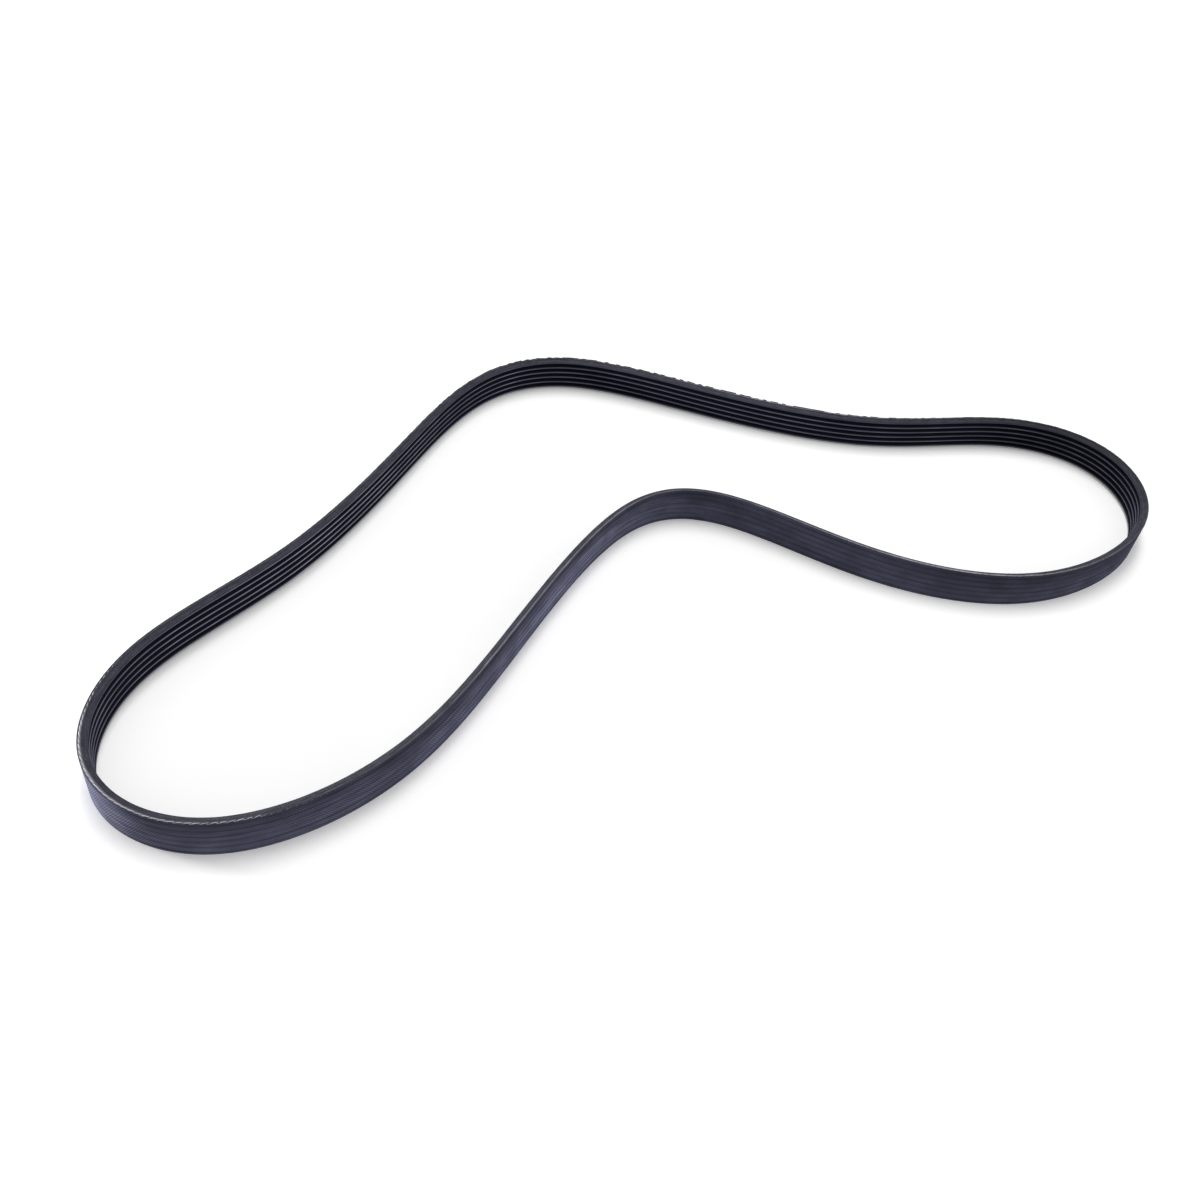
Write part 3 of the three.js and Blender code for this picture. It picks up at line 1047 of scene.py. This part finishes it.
# %% [markdown]
# ## The floor
#
# The belt stands on pure white, with only a soft shadow that hugs its lower edge. A white floor
# under plain light comes out a little grey, and more light would wash out the belt. So the floor
# is a purer white for the camera than for the belt, with a small glow that only the camera sees:
# lit parts reach white, and shadows stay. Far from the belt the lamps are weaker and no shadow has
# to be kept, so the glow grows there and the floor stays white up to its rim.
#
# The floor lies a hair under the belt, so that the two never share a surface.

# %% Floor
FLOOR_SIZE = 8.0
FLOOR_GAP = 0.02 * MM
FLOOR_COLOUR = (0.80, 0.80, 0.80, 1)
FLOOR_SEEN = (1.0, 1.0, 1.0, 1)
CAMERA_GLOW = 0.175
FAR_GLOW = 1.0
GLOW_GROWS_FROM = 0.5
GLOW_GROWS_TO = 1.5

half = FLOOR_SIZE / 2
floor_mesh = bpy.data.meshes.new("floor")
floor_corners = [(-half, -half, 0), (half, -half, 0), (half, half, 0), (-half, half, 0)]
floor_mesh.from_pydata(floor_corners, [], [(0, 1, 2, 3)])
floor = bpy.data.objects.new("floor", floor_mesh)
floor.location.z = -FLOOR_GAP
bpy.context.scene.collection.objects.link(floor)
floor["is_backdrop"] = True

floor_paint, tree, shader = new_material("white_floor")
shader.inputs["Roughness"].default_value = 0.9
shader.inputs["Specular IOR Level"].default_value = 0.0
light_path = add(tree, "ShaderNodeLightPath")
seen = light_path.outputs["Is Camera Ray"]
tree.links.new(blend_colour(tree, seen, FLOOR_COLOUR, FLOOR_SEEN), shader.inputs["Base Color"])
place = add(tree, "ShaderNodeTexCoord").outputs["Object"]
far_out = add(tree, "ShaderNodeVectorMath", {"operation": "LENGTH"}, {0: place}).outputs["Value"]
glow_here = spread(tree, far_out, GLOW_GROWS_FROM, GLOW_GROWS_TO, CAMERA_GLOW, FAR_GLOW)
glow = math_node(tree, "MULTIPLY", seen, glow_here)
shader.inputs["Emission Color"].default_value = (1, 1, 1, 1)
tree.links.new(glow, shader.inputs["Emission Strength"])
floor_mesh.materials.append(floor_paint)
print(f"floor {FLOOR_SIZE:.0f} m wide, glow {CAMERA_GLOW} near the belt and {FAR_GLOW} far out")

# %% [markdown]
# ## The dome
#
# A pale dome lights everything evenly, like a white tent round the belt. It is dimmer for the belt
# than for the camera, which sees plain white behind the floor. A picture of a real studio could
# light the belt too, but one plain colour is enough for matt rubber.

# %% World
DOME_STRENGTH = 0.4

world = bpy.data.worlds.new("pale_dome")
bpy.context.scene.world = world
world.use_nodes = True
tree = world.node_tree
sky = tree.nodes["Background"]
light_path = add(tree, "ShaderNodeLightPath")
sky.inputs["Color"].default_value = (1, 1, 1, 1)
seen = light_path.outputs["Is Camera Ray"]
tree.links.new(spread(tree, seen, 0, 1, DOME_STRENGTH, 1.0), sky.inputs["Strength"])

# %% [markdown]
# ## The lamps
#
# A soft lamp above and behind makes the shadow fall towards the viewer. A broad lamp low on the
# right lights the middle stretch and the rib tips that face it, and a small one at the left grazes
# the weave at the near end. All three are area lamps, which give shadows with soft rims.

# %% Lamps
def soft_lamp(name, position, aimed_at, size, power):
    """An area lamp that looks at a point. Places and sizes in metres, power in watts."""
    lamp_data = bpy.data.lights.new(name, "AREA")
    lamp_data.shape = "RECTANGLE"
    lamp_data.size, lamp_data.size_y = size
    lamp_data.energy = power
    lamp = bpy.data.objects.new(name, lamp_data)
    lamp.location = position
    aim = Vector(aimed_at) - Vector(position)
    lamp.rotation_euler = aim.to_track_quat("-Z", "Y").to_euler()
    bpy.context.scene.collection.objects.link(lamp)
    print(f"{name}: {power} W from {aim.length:.1f} m")


soft_lamp("key_lamp", (-0.35, 1.7, 5.0), (-0.35, 1.7, 0), (1.3, 3.4), 150)
soft_lamp("right_lamp", (3.0, -0.2, 0.6), (0, 0, 0), (1.1, 0.9), 22)
soft_lamp("left_lamp", (-0.95, -0.05, 0.08), (-0.27, -0.17, 0), (0.15, 0.15), 9.0)

scene = bpy.context.scene
scene.view_settings.view_transform = "Standard"

# %% [markdown]
# ## Measure and finish
#
# The dressed belt has to stay within a few percent of the solid one's box. Only the ragged upper
# border of the dressed belt stands out from the solid one's box, by about half a millimetre.
# Both boxes are printed side by side.

# %% Finish
visual_box = [list(corner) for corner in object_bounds()]
for axis, name in enumerate("XYZ"):
    cad_side = cad_box[1][axis] - cad_box[0][axis]
    visual_side = visual_box[1][axis] - visual_box[0][axis]
    print(f"{name}: CAD {cad_side / MM:.2f} mm, dressed {visual_side / MM:.2f} mm")
